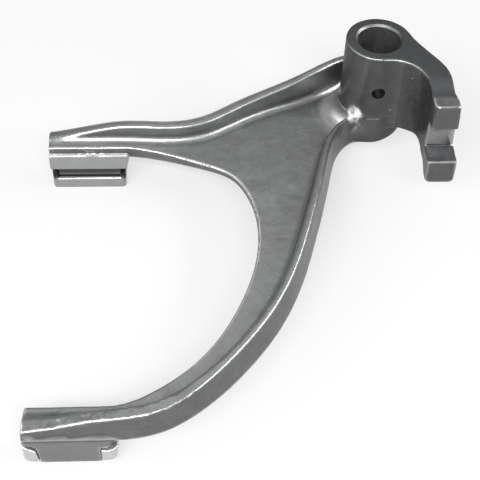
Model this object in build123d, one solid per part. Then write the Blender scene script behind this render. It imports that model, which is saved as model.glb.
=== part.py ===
from build123d import *
import math
import os

# Transmission shift fork, all sizes in millimetres.
# Frame: the rail bore's axis is Z, z = 0 is the underside of hub and yoke,
# the fork opens towards -X, the long arm lies at -Y and the short arm at +Y.

# hub and rail bore
bore_d = 19.0
bore_chamfer = 0.9
hub_d = 28.6
hub_h = 47.0
hub_edge = 0.6
boss_h = 13.6
boss_step = 0.5
root_r = 9.0
pin_d = 5.9
pin_z = 28.0

# sliding sleeve that the fork straddles, seen from the hub
sleeve_x = -128.4
sleeve_y = -93.4
sleeve_gap = 131.2

# yoke
web_t = 5.2
parting_z = 2.6
web_under_inset = 1.9
web_top_inset = 0.3
rib_h = 13.7
rib_base = 6.2
draft = math.tan(math.radians(3.0))
rib_tip_h = 6.2
rib_hub_h = 24.4
rib_edge = 0.8
rib_root_r = 1.2

# arm tips, blocks and tongues
pad_len = 35.0
tip_t = 11.6
tip_relief = 1.6
ledge_z = 4.0
inner_shoulder_z = -4.1
outer_shoulder_z = -6.4
tongue_bottom = -15.4
boss_from = 4.9
boss_len = 23.7

# clip-on wear pads
clip_len = 34.0
sheet_t = 2.0
fit_gap = 0.06
ear_proud = 0.4
lip_h = 5.0
ear_h = 7.8
post_len = 2.3
ear_slant = 1.2
pad_corner_r = 2.4
pad_edge_r = 1.3

# selector arm and jaw
arm_wall = 10.5
arm_reach = 28.3
arm_bend_y = -36.0
arm_edge = 0.7
jaw_step = 0.6
jaw_draft = math.tan(math.radians(3.7))
jaw_drop = 0.9
jaw_bottom = 9.0
jaw_corner_r = 3.0
jaw_edge = 0.4
horn_upper_y = -44.3
horn_lower_y = -49.5
horn_r = 0.8
notch_top = 33.3
notch_w = 10.5
notch_floor_y = -39.6
notch_step = 0.5
notch_r = 1.6

os.makedirs("parts", exist_ok=True)

x0 = sleeve_x - pad_len / 2
x1 = sleeve_x + pad_len / 2
far_in = sleeve_y + sleeve_gap / 2
near_in = sleeve_y - sleeve_gap / 2
far_out = far_in + tip_t
near_out = near_in - tip_t
arm_in_near = near_in - tip_relief / 2
arm_in_far = far_in + tip_relief
hub_r = hub_d / 2


def around_sleeve(angle, clearance):
    # point in plan at an angle about the sleeve's axis, outside the fork's gap by a clearance
    a = math.radians(angle)
    r = sleeve_gap / 2 + clearance
    return (sleeve_x + r * math.cos(a), sleeve_y + r * math.sin(a))


def offset_points(points, distance):
    # shift a row of points to the left of its own direction
    shifted = []
    last = len(points) - 1
    for i, (x, y) in enumerate(points):
        ax, ay = points[max(i - 1, 0)]
        bx, by = points[min(i + 1, last)]
        dx = bx - ax
        dy = by - ay
        n = math.hypot(dx, dy)
        shifted.append((x - dy / n * distance, y + dx / n * distance))
    return shifted


def block(xa, xb, ya, yb, za, zb):
    return Pos((xa + xb) / 2, (ya + yb) / 2, (za + zb) / 2) * Box(abs(xb - xa), abs(yb - ya), abs(zb - za))


def prism_z(edges, za, zb):
    return extrude(Pos(0, 0, za) * make_face(edges), zb - za)


def profile_xz(edges, ya, yb):
    # outline drawn in x and z, extruded from ya to yb
    plane = Plane(origin=(0, yb, 0), x_dir=(1, 0, 0), z_dir=(0, -1, 0))
    return extrude(plane * make_face(edges), yb - ya)


def round_corners(face, corners, radius):
    chosen = [v for v in face.vertices() for (a, b) in corners if math.hypot(v.X - a, v.Y - b) < 0.05]
    return fillet(chosen, radius)


# plan of the yoke, inner contour from the long arm's tip round to the short arm's tip
inner_pts = [
    (x1 - 4.1, arm_in_near),
    around_sleeve(-64.0, 2.5),
    around_sleeve(-46.3, 1.6),
    around_sleeve(-17.4, 1.9),
    around_sleeve(13.4, 9.6),
    around_sleeve(29.3, 14.8),
    around_sleeve(39.9, 15.8),
    around_sleeve(50.2, 11.8),
    around_sleeve(63.9, 7.0),
    (x1 + 0.9, arm_in_far),
]
# outer contour at the underside, long arm's tip round to the hub
outer_near_pts = [
    (x1 + 0.9, near_out),
    around_sleeve(-65.5, 15.9),
    around_sleeve(-51.9, 15.5),
    around_sleeve(-36.2, 15.6),
    around_sleeve(-20.9, 18.3),
    around_sleeve(-5.7, 23.4),
    around_sleeve(9.1, 32.0),
    around_sleeve(25.8, 52.6),
    (-18.8, -hub_r - 16.7),
    (-14.6, -hub_r - 8.3),
    (-8.4, -hub_r - 2.7),
    (0.0, -hub_r - 0.3),
]
# outer contour of the short arm, hub round to the tip
outer_far_pts = [
    (4.0, hub_r + 0.1),
    (-15.0, hub_r + 3.5),
    around_sleeve(47.7, 76.1),
    around_sleeve(50.7, 61.3),
    around_sleeve(54.1, 46.0),
    around_sleeve(58.0, 30.4),
    around_sleeve(65.1, 19.9),
    (x1 + 0.9, far_out),
]

# the web ends in the middle of the ribs, so only the ribs' own faces show
near_mid = offset_points(outer_near_pts, rib_base / 2)
far_mid = offset_points(outer_far_pts, rib_base / 2)


def yoke_outline(inner_inset):
    # closed plan of the web, its inner contour moved into the metal by an inset
    inner = offset_points(inner_pts, -inner_inset)
    return [
        Line((x0, inner[-1][1]), inner[-1]),
        Spline(*inner, tangents=[(1, 0), (-1, 0.12)]),
        Line(inner[0], (x0, inner[0][1])),
        Line((x0, inner[0][1]), (x0, near_mid[0][1])),
        Line((x0, near_mid[0][1]), near_mid[0]),
        Spline(*near_mid),
        Line(near_mid[-1], far_mid[0]),
        Spline(*far_mid),
        Line(far_mid[-1], (x0, far_mid[-1][1])),
        Line((x0, far_mid[-1][1]), (x0, inner[-1][1])),
    ]


# the inner edge is widest at the forging's parting line and slopes back above and below it
web_levels = [(0, web_under_inset), (parting_z, 0), (web_t, web_top_inset)]
web = loft([Pos(0, 0, z) * make_face(yoke_outline(inset)) for z, inset in web_levels], ruled=True)


def edge_near(shape, x, y, z):
    # the edge whose middle lies closest to a point
    return min(shape.edges(), key=lambda e: (e @ 0.5 - Vector(x, y, z)).length)


def top_edges(solid, shortest):
    # long edges round the faces that look up, each one once
    found = {}
    for face in solid.faces():
        if face.normal_at().Z > 0.5:
            for edge in face.edges():
                middle = edge @ 0.5
                if edge.length > shortest:
                    found[(round(middle.X, 2), round(middle.Y, 2))] = edge
    return list(found.values())


def foot_edge(solid, plan):
    # edge in which a rib's inner face meets the web
    x, y = offset_points(plan, rib_base - draft * web_t)[len(plan) // 2]
    return min(solid.edges(), key=lambda e: e.distance_to(Vector(x, y, web_t)))


def rib(points, height):
    # drafted strip standing on the outer contour, wide at the underside
    levels = []
    for z in (0.0, height):
        a = offset_points(points, draft * z)
        b = offset_points(points, rib_base - draft * z)
        face = make_face([Spline(*a), Line(a[-1], b[-1]), Spline(*reversed(b)), Line(b[0], a[0])])
        levels.append(Pos(0, 0, z) * face)
    return loft(levels)


near_rib_plan = [(x0, near_out), (x0 + 12, near_out), (x0 + 24, near_out)] + outer_near_pts
far_rib_plan = outer_far_pts + [(x0 + 24, far_out), (x0 + 12, far_out), (x0, far_out)]
near_top = [(x0 - 5, rib_tip_h - 1), (x0 + 13, 8.8), (x0 + 27, 12.2), (x0 + 40, rib_h)]
far_top = [(x0 - 5, rib_tip_h + 0.4), (x0 + 15, 10.9), (x0 + 34, rib_h)]
hub_rise = [(-64.0, rib_h), (-33.0, 18.2), (-11.0, rib_hub_h), (12, rib_hub_h + 0.4)]
near_side = [
    Line((x0 - 5, -1), near_top[0]),
    Spline(*near_top, tangents=[(1, 0.12), (1, 0)]),
    Line(near_top[-1], (12, rib_h)),
    Line((12, rib_h), (12, -1)),
    Line((12, -1), (x0 - 5, -1)),
]
far_side = [
    Line((x0 - 5, -1), far_top[0]),
    Spline(*far_top, tangents=[(1, 0.12), (1, 0)]),
    Line(far_top[-1], hub_rise[0]),
    Spline(*hub_rise, tangents=[(1, 0), (1, 0)]),
    Line(hub_rise[-1], (12, -1)),
    Line((12, -1), (x0 - 5, -1)),
]
near_rib = rib(near_rib_plan, rib_h + 6) & profile_xz(near_side, near_out - 5, 0)
far_rib = rib(far_rib_plan, rib_hub_h + 8) & profile_xz(far_side, far_in - 5, 30)
near_rib = chamfer(top_edges(near_rib, 2 * rib_base), rib_edge)
far_rib = chamfer(top_edges(far_rib, 2 * rib_base), rib_edge)
yoke = web + near_rib + far_rib
yoke = fillet(foot_edge(yoke, near_rib_plan), rib_root_r)
yoke = fillet(foot_edge(yoke, far_rib_plan), rib_root_r)

# hub with its lower boss and the root that flows into the web
hub = Cylinder(hub_r, hub_h, align=(Align.CENTER, Align.CENTER, Align.MIN))
hub = chamfer(hub.edges().sort_by(Axis.Z)[-1:], hub_edge)
boss = Cylinder(hub_r + boss_step, boss_h, align=(Align.CENTER, Align.CENTER, Align.MIN))
root_face = make_face(
    [
        Line((hub_r - 2, web_t - 1), (hub_r + root_r, web_t - 1)),
        Line((hub_r + root_r, web_t - 1), (hub_r + root_r, web_t)),
        RadiusArc((hub_r + root_r, web_t), (hub_r, web_t + root_r), root_r),
        Line((hub_r, web_t + root_r), (hub_r - 2, web_t + root_r)),
        Line((hub_r - 2, web_t + root_r), (hub_r - 2, web_t - 1)),
    ]
)
root = revolve(Plane.XZ * root_face, Axis.Z, 360) & prism_z(yoke_outline(0), 0, 30)

# selector arm: plan of the curled wall, cut to the side view with the jaw's notch
jaw_start_y = arm_bend_y - 1.2
jaw_top = hub_h - jaw_drop
notch_bottom = notch_top - notch_w
side_pts = [
    (hub_r, hub_h),
    (arm_bend_y + 0.4, hub_h),
    (arm_bend_y - 0.6, jaw_top),
    (horn_upper_y, jaw_top),
    (horn_upper_y, notch_top),
    (notch_floor_y, notch_top),
    (notch_floor_y, notch_bottom),
    (horn_upper_y + 0.6, notch_bottom),
    (horn_upper_y + 0.3, notch_bottom - notch_step),
    (horn_lower_y + 1.1, notch_bottom - notch_step - 1.3),
    (horn_lower_y, notch_bottom - notch_step - 2.4),
    (horn_lower_y, jaw_bottom),
    (jaw_start_y, jaw_bottom),
]
under_side = [side_pts[-1], ((jaw_start_y - hub_r) / 2, (jaw_bottom + boss_h) / 2), (hub_r, boss_h)]
side = make_face(
    [
        Polyline(*side_pts),
        Spline(*under_side, tangents=[(1, 0), (1, 0)]),
        Line(under_side[-1], side_pts[0]),
    ]
)
side = round_corners(side, [side_pts[5], side_pts[6]], notch_r)
side = round_corners(side, [side_pts[3], side_pts[4], side_pts[9]], horn_r)
side_plane = Plane(origin=(-5, 0, 0), x_dir=(0, 1, 0), z_dir=(1, 0, 0))
side_view = extrude(side_plane * side, 45)

wall_out = arm_reach - jaw_step
wall_in = wall_out - arm_wall + jaw_step
arm_outer = [(11.2, 9.0), (16.4, -1.4), (22.0, -10.8), (wall_out - 0.6, -21.0), (wall_out, arm_bend_y)]
arm_inner = [(2.0, -hub_r + 0.4), (10.5, -16.7), (wall_in - 1.6, -23.2), (wall_in, arm_bend_y)]
wall_plan = [
    Line((0, 0), arm_outer[0]),
    Spline(*arm_outer, tangents=[(0.6, -1), (0, -1)]),
    Line(arm_outer[-1], (wall_out, jaw_start_y)),
    Line((wall_out, jaw_start_y), (wall_in, jaw_start_y)),
    Line((wall_in, jaw_start_y), arm_inner[-1]),
    Spline(*reversed(arm_inner), tangents=[(0, 1), (-1, 0.15)]),
    Line(arm_inner[0], (0, 0)),
]
wall = prism_z(wall_plan, 0, hub_h)
wall = chamfer(top_edges(wall, 2 * hub_r - 1), arm_edge) & side_view
wall = fillet(edge_near(wall, wall_in, (arm_bend_y + jaw_start_y) / 2, jaw_bottom), jaw_corner_r)

# jaw block seen from the front, its outer side leaning out towards the underside
lean = jaw_draft * (hub_h - jaw_bottom)
front = make_face(
    Polyline((wall_in, hub_h), (wall_in, jaw_bottom), (arm_reach + lean, jaw_bottom), (arm_reach, hub_h), close=True)
)
front = round_corners(front, [(wall_in, jaw_bottom), (arm_reach + lean, jaw_bottom)], jaw_corner_r)
front_plane = Plane(origin=(0, jaw_start_y, 0), x_dir=(1, 0, 0), z_dir=(0, -1, 0))
jaw = extrude(front_plane * front, jaw_start_y - horn_lower_y + 1) & side_view
outer_edges = [e for e in jaw.edges() if (e @ 0.5).X > arm_reach - 0.2 and (e @ 0.5).Y < jaw_start_y - 0.1]
jaw = chamfer(outer_edges, jaw_edge)


def ear_window(clearance, za, zb, ya, yb):
    # opening between the clip's ears, its flank at the arm's end slanted
    low = boss_x0 - clearance + ear_slant
    high = low - ear_slant * (zb - za) / ear_h
    far = boss_x1 + clearance
    outline = Polyline((low, za), (far, za), (far, zb), (high, zb), close=True)
    return profile_xz(outline, min(ya, yb), max(ya, yb))


def tip(inner_y, outer_y, arm_y):
    # block with its ledge, and the T-shaped tongue that the clip sits on
    s = 1 if outer_y > inner_y else -1
    gap = sheet_t + fit_gap
    head = block(x0, x1, inner_y, outer_y, inner_shoulder_z, ledge_z) + block(x0, x1, arm_y, outer_y, 0, web_t)
    head = head + block(x0, x1, inner_y + s * gap, outer_y, outer_shoulder_z, 0)
    core_x0 = clip_x0 + gap
    core_x1 = clip_x1 - gap
    core = block(core_x0, core_x1, inner_y + s * gap, outer_y + s * (ear_proud - gap), tongue_bottom, outer_shoulder_z)
    centre = ear_window(0, tongue_bottom, outer_shoulder_z, inner_y + s * gap, outer_y)
    return head + core + centre


def wear_pad(inner_y, outer_y):
    # bent sheet clip: lip on the inner face, posts at both ends and ears on the outer face
    s = 1 if outer_y > inner_y else -1
    face_y = outer_y + s * ear_proud
    ring = block(clip_x0, clip_x1, inner_y, face_y, tongue_bottom, tongue_bottom + ear_h)
    ring = fillet(ring.edges().filter_by(Axis.Z), pad_corner_r)
    ring = fillet(ring.faces().sort_by(Axis.Z)[0].edges(), pad_edge_r)
    pocket = block(clip_x0 + sheet_t, clip_x1 - sheet_t, inner_y + s * sheet_t, face_y - s * sheet_t, tongue_bottom - 1, 0)
    mouth = ear_window(fit_gap, tongue_bottom, 0, inner_y + s * sheet_t, face_y + s)
    window = block(clip_x0 + post_len, clip_x1 - post_len, inner_y - s, inner_y + s * sheet_t, tongue_bottom + lip_h, 0)
    return ring - pocket - mouth - window


clip_x0 = sleeve_x - clip_len / 2
clip_x1 = sleeve_x + clip_len / 2
boss_x0 = x0 + boss_from
boss_x1 = boss_x0 + boss_len
near_tip = tip(near_in, near_out, arm_in_near)
far_tip = tip(far_in, far_out, arm_in_far)
near_pad = wear_pad(near_in, near_out)
far_pad = wear_pad(far_in, far_out)

body = yoke + boss + hub + root + wall + jaw + near_tip + far_tip
bore = Cylinder(bore_d / 2, hub_h + 2, align=(Align.CENTER, Align.CENTER, Align.MIN))
top_cone = Pos(0, 0, hub_h) * Cone(
    bore_d / 2, bore_d / 2 + bore_chamfer, bore_chamfer, align=(Align.CENTER, Align.CENTER, Align.MAX)
)
pin_hole = Pos(0, 0, pin_z) * Rot(90, 0, 0) * Cylinder(pin_d / 2, hub_d + 20)
body = body - Pos(0, 0, -1) * bore - top_cone - pin_hole

body.label = "fork_body"
near_pad.label = "long_arm_pad"
far_pad.label = "short_arm_pad"
export_step(body, "parts/fork_body.step")
export_step(near_pad, "parts/long_arm_pad.step")
export_step(far_pad, "parts/short_arm_pad.step")
for piece in (body, near_pad, far_pad):
    box = piece.bounding_box()
    print(piece.label, len(piece.solids()), round(piece.volume / 1000, 2), "cm3", box.min, box.max, piece.is_valid)
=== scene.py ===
import math

import bmesh
import bpy
import numpy as np
from mathutils import Matrix, Vector


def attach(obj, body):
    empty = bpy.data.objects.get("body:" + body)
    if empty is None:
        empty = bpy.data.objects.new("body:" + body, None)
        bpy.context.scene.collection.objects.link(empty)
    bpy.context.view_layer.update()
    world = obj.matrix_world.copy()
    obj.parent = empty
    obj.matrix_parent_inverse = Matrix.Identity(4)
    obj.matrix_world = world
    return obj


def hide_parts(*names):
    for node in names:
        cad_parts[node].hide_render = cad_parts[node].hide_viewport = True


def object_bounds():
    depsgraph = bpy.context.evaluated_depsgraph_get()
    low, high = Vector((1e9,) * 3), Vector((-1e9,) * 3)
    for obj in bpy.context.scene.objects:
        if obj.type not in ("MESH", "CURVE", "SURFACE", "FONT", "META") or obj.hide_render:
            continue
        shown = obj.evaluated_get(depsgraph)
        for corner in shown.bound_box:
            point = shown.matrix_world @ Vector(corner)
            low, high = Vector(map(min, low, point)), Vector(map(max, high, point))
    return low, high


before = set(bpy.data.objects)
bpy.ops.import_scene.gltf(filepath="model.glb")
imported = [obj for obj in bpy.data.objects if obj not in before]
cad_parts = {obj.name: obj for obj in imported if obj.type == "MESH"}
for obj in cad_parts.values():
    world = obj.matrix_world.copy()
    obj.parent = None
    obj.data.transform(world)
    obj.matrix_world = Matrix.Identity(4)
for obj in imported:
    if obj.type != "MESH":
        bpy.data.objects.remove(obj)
cad_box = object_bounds()

# Sizes in millimetres in the frame of the CAD: the rail bore's axis is Z and z = 0 is the
# underside of hub and yoke. Meshes are turned into metres when they are made. Two values under
# one name that ends in _X, _Y or _Z are the stretch over which what it names changes.
MM = 0.001
GRID = 0.5

# hub, bore and cross hole
BORE_R = 9.5
BORE_CHAMFER = 0.9
HUB_R = 14.3
HUB_H = 47.0
BOSS_H = 13.6
BOSS_STEP = 0.5
ROOT_WIDTH = 13.0
BOSS_ROUND = 0.35
PIN_R = 2.95
PIN_Z = 28.0

# sleeve that the fork straddles
SLEEVE_X = -128.4
SLEEVE_Y = -93.4
SLEEVE_R = 65.6

# web and ribs of the yoke
WEB_T = 5.2
PARTING_Z = 2.6
WEB_UNDER = 1.9
WEB_RISE = 2.3
WEB_RISE_X = (-66.0, -116.0)
WEB_RISE_FROM_Y = -70.0
RIB_H = 13.7
RIB_BASE = 6.2
FAR_FOOT = 5.2
FAR_PROUD = 0.7
NEAR_PROUD = 0.8
HUB_INSET = 1.3
HUB_INSET_X = (-30.0, -12.0)
NEAR_LEAN = 0.14
NEAR_LEAN_X = (-100.0, -60.0)
NEAR_CREST_OUT_R = 1.2
NEAR_CREST_IN_R = 2.0
FAR_CREST_OUT_R = 0.5
FAR_CREST_IN_R = 1.5
RIB_HUB_H = 24.4
RIB_TIP_H = 6.2
DRAFT = math.tan(math.radians(3.0))
WEB_ROUND = 0.6
WEB_ROUND_ADD = 0.5
WEB_ROUND_X = (-80.0, -100.0)
NEAR_FOOT_R = 3.0
FAR_FOOT_R = 0.6
FAR_FOOT_ADD = 1.6
FAR_FOOT_X = (-98.0, -114.0)
NEAR_ROOT_R = 0.4
NEAR_ROOT_ADD = 4.0
NEAR_ROOT_Z = (BOSS_H - 1.2, BOSS_H + 0.6)
FAR_ROOT_R = 3.0
UNDERSIDE_ROUND = 0.5
HEAD_ROUND = 0.9
FLASH = 0.12
FLASH_RISE = 1.2
# distance from the inner contour over which the flash line rises
FLASH_RISE_AWAY = (4.0, 14.0)
FLASH_WIDTH = 0.45
ARM_FLASH_UP = 0.8
ARM_FLASH_WIDTH = 0.35
ARM_FLASH_Y = (-27.0, -20.0)

# machined tips and their clips
PAD_LEN = 35.0
TIP_T = 11.6
TIP_RELIEF = 1.6
NEAR_RELIEF = 0.4
TIP_END_R = 0.8
NEAR_END_R = 0.6
# lean of the long arm's end face, and how much more for each millimetre inwards
NEAR_END_LEAN = 0.55
NEAR_END_SKEW = 0.05
NEAR_END_Z = (-2.0, 4.0)
BLOCK_DRAFT = 0.11
BLOCK_PAST = 0.4
UNDER_PAST = 0.2
UNDER_NARROWS = 1.5
UNDER_NARROWS_Z = (-1.0, -6.0)
# underside of the block at its ends: reach, run and rise
LEFT_SLANT = (5.4, 4.6, 4.4)
RIGHT_SLANT = (4.6, 3.4, 2.6)
ARM_TOP_R = 1.1
BLOCK_EDGE_R = 0.3
UNDER_EDGE_R = 0.4
LEDGE_R = 0.7
LEDGE_Z = 4.0
LEDGE_DEEP = 2.0
INNER_SHOULDER = -4.1
OUTER_SHOULDER = -6.4
TONGUE_Z = -15.4
CLIP_LEN = 34.0
CLIP_INSET = 0.1
SHEET_T = 2.0
FIT_GAP = 0.06
EAR_PROUD = 0.4
# centre of the tongue, which stands between the clip's ears
CENTRE_FROM = 4.9
CENTRE_LEN = 23.7
CENTRE_EDGE_R = 0.5
LIP_H = 5.6
EAR_H = 7.8
EAR_SLANT = 1.2
POST = 2.3
PAD_CORNER = 1.3
PAD_LOW_CORNER = 1.8
PAD_EDGE = 0.3
PAD_TOP_EDGE = 0.2
CLIP_TRIM = 0.8
# depths from the ears' face between which the lower edge drops to the lip's level
EAR_DEPTH = (2.0, 6.0)
EAR_LIFT = 1.6
EAR_CORNER_ADD = 2.2
# top edges of the ears at their ends: run and rise
LEFT_CLIMB = (4.6, 4.0)
RIGHT_CLIMB = (3.2, 2.2)
WINDOW_R = 0.7
WINDOW_PAST = 0.2
BEND_R = 0.3

# selector arm and jaw
WALL_OUT = 27.7
WALL_IN = 17.8
ARM_REACH = 28.7
BEND_Y = -36.0
TOP_SLOPE_Y = (BEND_Y - 1.0, BEND_Y + 11.0)
JAW_Y = -37.2
JAW_START = -33.0
JAW_TOP = 46.1
JAW_LOW = 7.4
JAW_LEAN = math.tan(math.radians(3.7))
JAW_LOW_RISE = 3.2
JAW_LOW_RISE_Y = (-47.0, -40.0)
JAW_BULGE_Y = (-33.0, -40.5)
JAW_ROUND = 3.0
JAW_TOP_R = 0.7
HORN_R = 0.9
LOWER_HORN_R = 0.6
HORN_CORNER_R = 0.7
HORN_CORNER_ADD = 1.9
UNDER_ARM_R = 6.0
ARM_EDGE_R = 3.0
ARM_EDGE_LESS = 2.2
ARM_EDGE_Y = (-26.0, -16.0)
ARM_ROOT_R = 1.0
ARM_LOW = 4.0
HORN_UP_Y = -44.3
HORN_LOW_Y = -49.5
NOTCH_TOP = 33.3
HORN_CORNER_Z = (NOTCH_TOP - 1.0, JAW_TOP)
SHELF_Z = 20.4
NOTCH_Y = -39.6

# meshes, and how far the marks of wear, painted shade and painted highlight look around
SKIN_TRIANGLES = 170000
CLIP_TRIANGLES = 9000
CLIP_GRID = 0.2
BORE_SIDES = 128
PIN_SIDES = 48
SHARP_ANGLE = 38
HOLLOW_REACH = 1.6
EDGE_REACH = 1.2
SHELTER_REACH = 6.0
INSIDE_BOX = 0.01
OUT_OF_REACH = 30.0

# colours of steel, and of painted shade and painted highlight on it, as linear red, green and blue
SKIN_DARK = (0.077, 0.078, 0.079)
SKIN_LIGHT = (0.098, 0.1, 0.101)
# painted shade for hollows, creases and the holes
HOLLOW_PAINTED_SHADE = (0.008, 0.008, 0.008)
SHELTERED_GREY = (0.03, 0.03, 0.03)
HEAD_GREY = (0.01, 0.01, 0.01)
# worn edges, lightened further as a painted highlight
WORN_EDGE_AND_HIGHLIGHT = (0.45, 0.45, 0.445)
SPECK_GREY = (0.4, 0.4, 0.39)
# painted highlight on the rough patch by the hub
SCALE_PATCH_PAINTED_HIGHLIGHT = (0.36, 0.36, 0.355)
# grey of the faced top, and painted shade on the lower horn's shelf
FACED_TOP_AND_SHELF_SHADE_GREY = (0.036, 0.037, 0.038)
CUT_DARK = (0.2, 0.202, 0.205)
CUT_LIGHT = (0.245, 0.248, 0.25)
# painted shade in slots and gaps
SLOT_PAINTED_SHADE = (0.03, 0.03, 0.03)
# painted shade in the bore and on the chamfer's unlit side
BORE_PAINTED_SHADE = (0.055, 0.055, 0.056)
# painted deep shade in the cross hole and on the short clip's posts
PAINTED_DEEP_SHADE = (0.02, 0.02, 0.02)
# one sheet colour in a lit copy and a painted-shade copy
CLIP_LIT_DARK = (0.4, 0.4, 0.405)
CLIP_LIT_LIGHT = (0.5, 0.5, 0.505)
CLIP_SHADED_DARK = (0.24, 0.24, 0.243)
CLIP_SHADED_LIGHT = (0.3, 0.3, 0.303)

# masks: slack past a face, tilt of walls and flats, the light's side, and the holes' hollow
SLACK = 0.2
HOLE_SLACK = 0.05
PIN_FACE_SLACK = 0.02
PIN_POINT_SLACK = 0.1
WALL_TILT = 0.4
FLAT_TILT = 0.95
TO_LIGHT = (0.8, 0.6)
SHADED_PAST = 2.0
PIN_HOLLOW = 2.0
BORE_HOLLOW = 0.2

# how much of the cut look each face has
ARM_FROM_X = 10.0
CUT_BORDER_DROP = 5.4
OUTER_FACE_CUT = 0.42
NOTCH_FLOOR_CUT = 0.7
JAW_LIGHTER = 0.45
JAW_LIGHTER_Y = (-36.0, -41.0)
HEAD_FADE = (0.5, 9.0)

# relief of the forged skin: height, size and seed of each layer, then where the patches lie
WORN_LAYERS = ((0.045, 7.0, 1), (0.03, 3.1, 2), (0.02, 1.5, 3))
ROUGH_LAYERS = ((0.16, 1.3, 4), (0.05, 2.6, 5))
ROUGH_ARM_START = (-104, -92)
ROUGH_ARM_END = (-62, -46)
ROUGH_ARM_IN = (1.5, 3.5)
ROUGH_ARM_Z = 3.5
SCALE_LAYER = (0.16, 1.3, 6)
SCALE_PROUD = 0.04
SCALE_SPOT = (-9.5, -12.8, 14.6)
SCALE_SPOT_R = (4.7, 5.4, 5.0)
LEDGE_LAYER = (0.5, 1.2, 7)
LEDGE_PROUD = 0.05
WORN_LEDGE = (-127.0, -27.0, 5.5)
WORN_LEDGE_R = (9.0, 3.5, 3.5)

X0 = SLEEVE_X - PAD_LEN / 2
X1 = SLEEVE_X + PAD_LEN / 2
FAR_IN = SLEEVE_Y + SLEEVE_R
NEAR_IN = SLEEVE_Y - SLEEVE_R
FAR_OUT = FAR_IN + TIP_T
NEAR_OUT = NEAR_IN - TIP_T
ARM_IN_NEAR = NEAR_IN - NEAR_RELIEF
ARM_IN_FAR = FAR_IN + TIP_RELIEF
CLIP_X0 = X0 + CLIP_INSET
CLIP_X1 = SLEEVE_X + CLIP_LEN / 2
CENTRE_X0 = X0 + CENTRE_FROM
CENTRE_X1 = CENTRE_X0 + CENTRE_LEN


def around_sleeve(angle, clearance):
    a = math.radians(angle)
    r = SLEEVE_R + clearance
    return (SLEEVE_X + r * math.cos(a), SLEEVE_Y + r * math.sin(a))


def shifted(points, distance):
    # a row of points moved to the left of its own direction
    p = np.asarray(points, float)
    ahead = np.vstack([p[1:], p[-1:]])
    behind = np.vstack([p[:1], p[:-1]])
    d = ahead - behind
    d /= np.linalg.norm(d, axis=1)[:, None]
    return p + distance * np.stack([-d[:, 1], d[:, 0]], 1)


def curve(points, start=None, end=None, step=1.2):
    # smooth curve through points, with the same rule as the CAD's splines
    p = np.asarray(points, float)
    n = len(p)
    h = np.linalg.norm(p[1:] - p[:-1], axis=1)
    a = np.zeros((n, n))
    b = np.zeros((n, 2))
    for i in range(1, n - 1):
        a[i, i - 1] = 1 / h[i - 1]
        a[i, i] = 2 * (1 / h[i - 1] + 1 / h[i])
        a[i, i + 1] = 1 / h[i]
        b[i] = 3 * ((p[i] - p[i - 1]) / h[i - 1] ** 2 + (p[i + 1] - p[i]) / h[i] ** 2)
    for i, j, tangent in ((0, 1, start), (n - 1, n - 2, end)):
        if tangent is None:
            a[i, i] = 2
            a[i, j] = 1
            b[i] = 3 * abs(j - i) * (p[j] - p[i]) / h[min(i, j)] * (1 if j > i else -1)
        else:
            a[i, i] = 1
            t = np.asarray(tangent, float)
            b[i] = t / np.linalg.norm(t)
    m = np.linalg.solve(a, b)
    rows = []
    for i in range(n - 1):
        k = max(2, int(math.ceil(h[i] / step)))
        s = np.linspace(0, 1, k, endpoint=False)[:, None]
        rows.append(
            (2 * s**3 - 3 * s**2 + 1) * p[i]
            + (s**3 - 2 * s**2 + s) * h[i] * m[i]
            + (3 * s**2 - 2 * s**3) * p[i + 1]
            + (s**3 - s**2) * h[i] * m[i + 1]
        )
    return np.vstack(rows + [p[-1:]])


def rounded(points, radii):
    # closed outline with some corners rounded, radii keyed by the corner's number
    p = [np.asarray(q, float) for q in points]
    out = []
    for i, q in enumerate(p):
        r = radii.get(i, 0)
        if not r:
            out.append(q)
            continue
        a = p[i - 1] - q
        b = p[(i + 1) % len(p)] - q
        a /= np.linalg.norm(a)
        b /= np.linalg.norm(b)
        half = math.acos(np.clip(a @ b, -1, 1)) / 2
        reach = r / math.tan(half)
        middle = q + (a + b) / np.linalg.norm(a + b) * r / math.sin(half)
        first = q + a * reach - middle
        last = q + b * reach - middle
        turn = math.atan2(first[0] * last[1] - first[1] * last[0], first @ last)
        for k in range(7):
            c = math.cos(turn * k / 6)
            s = math.sin(turn * k / 6)
            out.append(middle + np.array([first[0] * c - first[1] * s, first[0] * s + first[1] * c]))
    return np.array(out)


def distance_to(outline, u, v):
    # signed distance from a grid of points to a closed outline, negative inside
    near = np.full(u.shape, 1e9, np.float32)
    inside = np.zeros(u.shape, bool)
    q = np.asarray(outline, np.float64)
    for (ax, ay), (bx, by) in zip(q, np.roll(q, -1, 0)):
        ex = bx - ax
        ey = by - ay
        e2 = ex * ex + ey * ey
        if e2 < 1e-12:
            continue
        px = u - ax
        py = v - ay
        t = np.clip((px * ex + py * ey) / e2, 0, 1)
        dx = px - t * ex
        dy = py - t * ey
        np.minimum(near, dx * dx + dy * dy, out=near)
        if ay != by:
            crosses = (v < ay) != (v < by)
            inside ^= crosses & (u < ax + (v - ay) / ey * ex)
    d = np.sqrt(near)
    return np.where(inside, -d, d).astype(np.float32)


def both(a, b, r=0.0):
    # common part of two bodies, its edge rounded by r
    if not np.any(r):
        return np.maximum(a, b)
    pa = np.maximum(a + r, 0)
    pb = np.maximum(b + r, 0)
    return np.sqrt(pa * pa + pb * pb) + np.minimum(np.maximum(a, b) + r, 0) - r


def joined(a, b, r=0.0):
    # union of two bodies, its inner corner filled with radius r
    return -both(-a, -b, r)


def merged(a, b, width):
    # soft union whose blend reaches over a width
    h = np.maximum(width - np.abs(a - b), 0) / width
    return np.minimum(a, b) - h * h * width / 4


def ramp(x, low, high):
    t = np.clip((x - low) / (high - low), 0, 1)
    return t * t * (3 - 2 * t)


def along(points, x):
    # height of a curve over x, the curve given by its points
    return np.interp(x, points[:, 0], points[:, 1])


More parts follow.
